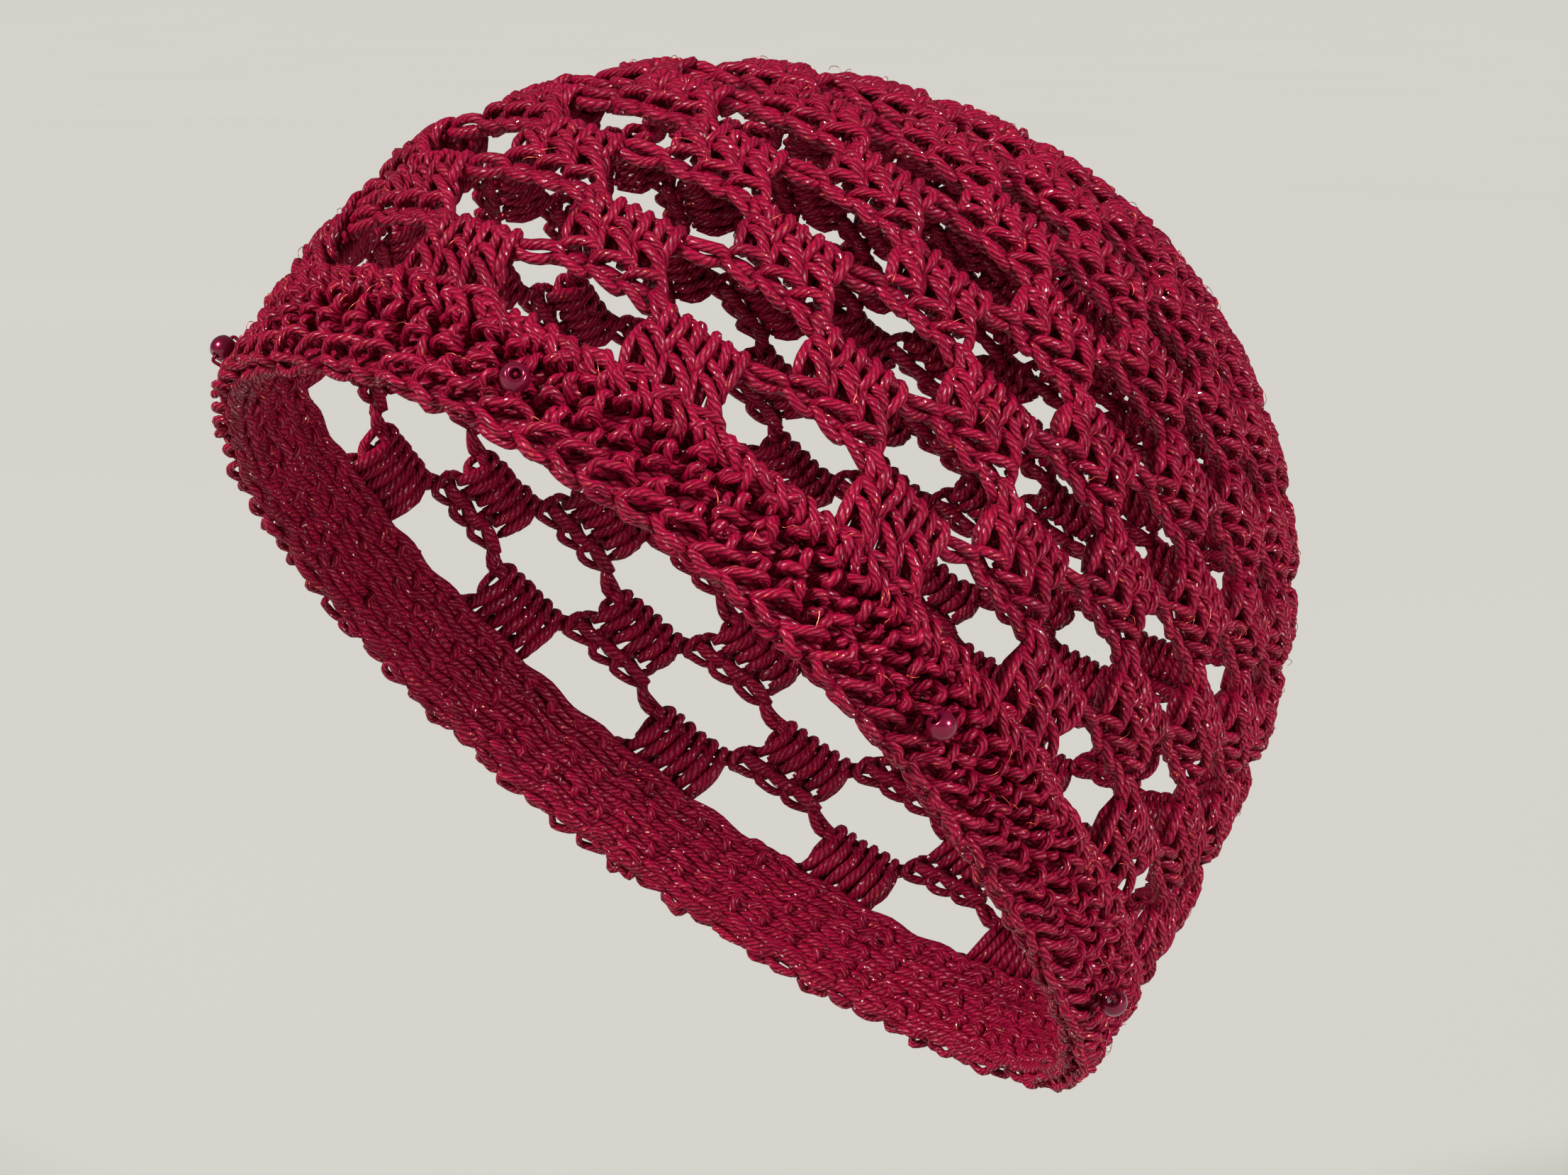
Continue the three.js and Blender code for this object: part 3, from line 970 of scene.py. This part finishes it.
def strays(repeat, x, along):
    """A fine arc at every place, in its own direction and of its own length."""
    count = len(x)
    way = random.uniform(0, math.pi, count)
    length = random.uniform(*STRAY_LENGTHS, count)
    run = STRAY_ARC[None, :, 0] * length[:, None]
    sag = random.normal(0, 0.1, (count, len(STRAY_ARC)))
    out = STRAY_LIFT + STRAY_ARC[None, :, 1] * random.uniform(*STRAY_BULGES, count)[:, None]
    right = x[:, None] + run * np.cos(way)[:, None] - sag * np.sin(way)[:, None]
    up = along[:, None] + run * np.sin(way)[:, None] + sag * np.cos(way)[:, None]
    return to_world(repeat[:, None], right, up, out)


stray_repeat, stray_x, stray_along = [], [], []
for number in range(1, STRAY_ROUNDS + 1):
    stray_repeat.append(cluster_middles(random.integers(0, REPEATS, STRAYS_IN_ROUND), number))
    stray_x.append(random.uniform(*ROUND_RIGHTS, STRAYS_IN_ROUND))
    stray_along.append(line_of(number) + random.uniform(*ROUND_UPS, STRAYS_IN_ROUND))
stray_repeat.append(random.uniform(0, REPEATS, STRAYS_IN_BAND))
stray_x.append(np.zeros(STRAYS_IN_BAND))
stray_along.append(random.uniform(*BAND_UPS, STRAYS_IN_BAND))
arcs = strays(*(np.concatenate(rows) for rows in (stray_repeat, stray_x, stray_along)))
piece_of("stray_threads", [swept(arcs, STRAY_RADIUS, sides=4, density=2.4, pinch=0)], metallic_thread)

# %% [markdown]
# ## The pearl beads
# Each bead is a ball with a drilled hole whose lip is slightly rounded. A lathe profile turned
# round the hole's axis gives all three. One bead shows its hole from outside, one is sewn with
# the hole upright, and the others have it along the band. The sewing thread goes through the
# hole and back into the fabric.

# %% Bead shape and material
BEAD_RADIUS, HOLE_RADIUS = 2.25, 0.85
LIP_RADIUS, LIP_FLATNESS, HOLE_INSET = 0.6, 0.6, 1.0
BEAD_ALONG, BEAD_SETTLES = 7.6, 1.3
BEADS = [  # solid, place round the band in repeats, and the way its hole runs: out, up or along
    {"node": "bead_front_right", "repeat": -0.92, "hole": "up"},
    {"node": "bead_front_left", "repeat": 1.08, "hole": "out"},
    {"node": "bead_side_left", "repeat": 3.08, "hole": "along"},
    {"node": "bead_back_left", "repeat": 5.04, "hole": "along"},
    {"node": "bead_back", "repeat": 7.06, "hole": "along"},
    {"node": "bead_back_right", "repeat": 9.08, "hole": "along"},
    {"node": "bead_side_right", "repeat": 11.08, "hole": "along"},
]


def bead_profile(points=22):
    """Half a section: out from the hole's lip, over the ball and back, then up the hole."""
    lip_angle = math.asin((HOLE_RADIUS + LIP_RADIUS) / BEAD_RADIUS)
    turns = np.linspace(lip_angle, math.pi - lip_angle, points)
    ball = [(BEAD_RADIUS * math.sin(t), BEAD_RADIUS * math.cos(t)) for t in turns]
    edge = ball[0][1]
    round_lip = [
        (HOLE_RADIUS + LIP_RADIUS * (1 - math.sin(a)), edge - LIP_RADIUS * (1 - math.cos(a)) * LIP_FLATNESS)
        for a in (0.5, 1.0, 1.5)
    ]
    hole = [(HOLE_RADIUS, edge - HOLE_INSET), (HOLE_RADIUS, -edge + HOLE_INSET)]
    return ball + [(r, -z) for r, z in round_lip] + hole[::-1] + round_lip[::-1]


def pearl_material():
    """A glossy coat over a dark body whose colour drifts in soft clouds."""
    material, nodes, shader = new_material(
        "pearl_coat",
        {
            "Coat Weight": 0.6,
            "Specular IOR Level": 0.1,
            "Coat Roughness": 0.12,
            "Coat IOR": 1.5,
            "Metallic": 0.6,
            "Roughness": 0.27,
        },
    )
    place = nodes.nodes.new("ShaderNodeTexCoord")
    clouds = nodes.nodes.new("ShaderNodeTexNoise")
    clouds.inputs["Scale"].default_value = 600.0
    clouds.inputs["Detail"].default_value = 2.0
    nodes.links.new(place.outputs["Object"], clouds.inputs["Vector"])
    colour = mix_colour(nodes, clouds.outputs["Fac"], (0.15, 0.003, 0.024, 1), (0.24, 0.006, 0.045, 1))
    nodes.links.new(colour, shader.inputs["Base Color"])
    return material


def bead_mesh(name, sides=32):
    """The profile, turned round Z."""
    profile = bead_profile()
    turns = np.arange(sides) * 2 * math.pi / sides
    verts = [(r * math.cos(t) * MM, r * math.sin(t) * MM, z * MM) for r, z in profile for t in turns]
    faces = []
    for i in range(len(profile)):
        ring, next_ring = i * sides, ((i + 1) % len(profile)) * sides
        for j in range(sides):
            k = (j + 1) % sides
            faces.append((ring + j, next_ring + j, next_ring + k, ring + k))
    mesh = bpy.data.meshes.new(name)
    mesh.from_pydata(verts, [], faces)
    mesh.polygons.foreach_set("use_smooth", [True] * len(faces))
    mesh.update()
    return mesh


print("bead, mm across:", 2 * BEAD_RADIUS, "and its hole:", 2 * HOLE_RADIUS)

# %% Sew the beads on
pearl_coat = pearl_material()
THREAD_RADIUS = 0.32
OUTWARD_HOLE = (0.94, 0.34)  # shares out of the cap and along the band
NUDGE = 0.02
THREAD_OUT = [(0.0, -3.8), (-1.7, 0.0), (0.0, 0.0), (1.5, 0.0)]  # mm along the hole, mm out
THREAD_OVER = [(-2.5, -3.4), (-2.5, -1.5), (-2.5, 0.2), (0.0, 0.0), (2.5, 0.2), (2.5, -1.5), (2.5, -3.4)]


def bead_place(bead):
    """The bead's middle in metres, the way out of the cap, and the way its hole runs."""
    low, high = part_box(bead["node"])
    here = np.array([bead["repeat"]])
    out = worn(dome_normal(here, np.array([BEAD_ALONG])))[0]
    settled = bulge(bead["repeat"], BEAD_ALONG) - BEAD_SETTLES
    centre = (Vector(low) + Vector(high)) / 2 + Vector(out) * settled * MM
    step = on_dome(here + NUDGE, BEAD_ALONG, 0)[0] - on_dome(here - NUDGE, BEAD_ALONG, 0)[0]
    aside = step / np.linalg.norm(step)
    outward = out * OUTWARD_HOLE[0] + aside * OUTWARD_HOLE[1]
    ways = {"out": outward, "along": aside, "up": np.cross(out, aside)}
    return centre, out, Vector(ways[bead["hole"]])


for bead in BEADS:
    centre, out, axis = bead_place(bead)
    label = bead["node"].replace("bead", "pearl")
    mesh = bead_mesh(label)
    turn = axis.to_track_quat("Z", "Y").to_matrix().to_4x4()
    turn.translation = centre
    mesh.transform(turn)
    mesh.materials.append(pearl_coat)
    pearl = placed(label, mesh)
    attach(pearl, "root")
    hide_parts(bead["node"])
    middle = np.array(centre) / MM
    along_hole = np.array(axis.normalized())
    route = THREAD_OUT if bead["hole"] == "out" else THREAD_OVER
    route = [middle + along_hole * along + out * lift for along, lift in route]
    thread = swept(np.array([route]), THREAD_RADIUS, sides=6, density=3.0, pinch=0)
    piece_of(label.replace("pearl", "thread"), [thread], band_yarn)
print("pearls sewn:", len(BEADS))

# %% [markdown]
# ## Floor, light and camera
# The cap keeps the pose that it has on a head, so it hangs clear of a plain pale floor. Two far
# lamps light the floor alike everywhere: a stronger, soft one from the upper left and a weaker,
# lower one from the right. With a pale surround they give the slightly directional light of a
# room.

# %% Floor
FLOOR_DROP, HALF_FLOOR = 0.09, 110.0


def floor_material():
    """Pale paint, very slightly mottled."""
    material, nodes, shader = new_material("floor_paint", {"Roughness": 0.85})
    place = nodes.nodes.new("ShaderNodeTexCoord")
    mottle = nodes.nodes.new("ShaderNodeTexNoise")
    mottle.inputs["Scale"].default_value = 1.2
    nodes.links.new(place.outputs["Object"], mottle.inputs["Vector"])
    colour = mix_colour(nodes, mottle.outputs["Fac"], (0.46, 0.45, 0.42, 1), (0.48, 0.47, 0.44, 1))
    nodes.links.new(colour, shader.inputs["Base Color"])
    return material


floor_mesh = bpy.data.meshes.new("floor")
floor_height = cad_box[0][2] - FLOOR_DROP
corner_signs = ((-1, -1), (1, -1), (1, 1), (-1, 1))
floor_corners = [(x * HALF_FLOOR, y * HALF_FLOOR, floor_height) for x, y in corner_signs]
floor_mesh.from_pydata(floor_corners, [], [(0, 1, 2, 3)])
floor_mesh.materials.append(floor_material())
floor = placed("floor", floor_mesh)
print("floor height, m:", round(floor_height, 4))

# %% Lamps and surround


def far_lamp(name, place, softness, strength, colour):
    """A lamp so far off that it lights the whole floor alike."""
    data = bpy.data.lights.new(name, "SUN")
    data.angle = math.radians(softness)
    data.energy = strength
    data.color = colour
    lamp = placed(name, data)
    lamp.location = place
    lamp.rotation_euler = (-Vector(place)).to_track_quat("-Z", "Y").to_euler()


far_lamp("key_lamp", (-0.05, -1.2, 0.95), softness=16, strength=4.5, colour=(1.0, 0.985, 0.955))
far_lamp("side_lamp", (0.95, 0.31, 0.4), softness=14, strength=3.5, colour=(0.97, 0.985, 1.0))
surround = bpy.data.worlds.new("surround")
surround.use_nodes = True
background = surround.node_tree.nodes["Background"]
background.inputs["Color"].default_value = (0.86, 0.87, 0.86, 1)
background.inputs["Strength"].default_value = 0.16
bpy.context.scene.world = surround

# %% Camera
PHOTO_WIDTH, FOCAL_PIXELS = 2212, 5165
CAMERA_PLACE = (0.4709, -0.3442, 0.1241)
LOOK_AZIMUTH, LOOK_DOWN = math.radians(51.95), math.radians(9.34)
camera_data = bpy.data.cameras.new("camera")
camera_data.sensor_width = 36.0
camera_data.lens = camera_data.sensor_width * FOCAL_PIXELS / PHOTO_WIDTH
camera_data.clip_end = 400.0
camera = placed("camera", camera_data)
camera.location = CAMERA_PLACE
level = math.cos(LOOK_DOWN)
look = Vector((-math.sin(LOOK_AZIMUTH) * level, math.cos(LOOK_AZIMUTH) * level, -math.sin(LOOK_DOWN)))
camera.rotation_euler = look.to_track_quat("-Z", "Y").to_euler()
bpy.context.scene.camera = camera
print("lens, mm:", round(camera_data.lens, 1))

# %% Colours of the picture
# The plain transform keeps the deep crimson; the default one fades strong reds to pink.
bpy.context.scene.view_settings.view_transform = "Standard"
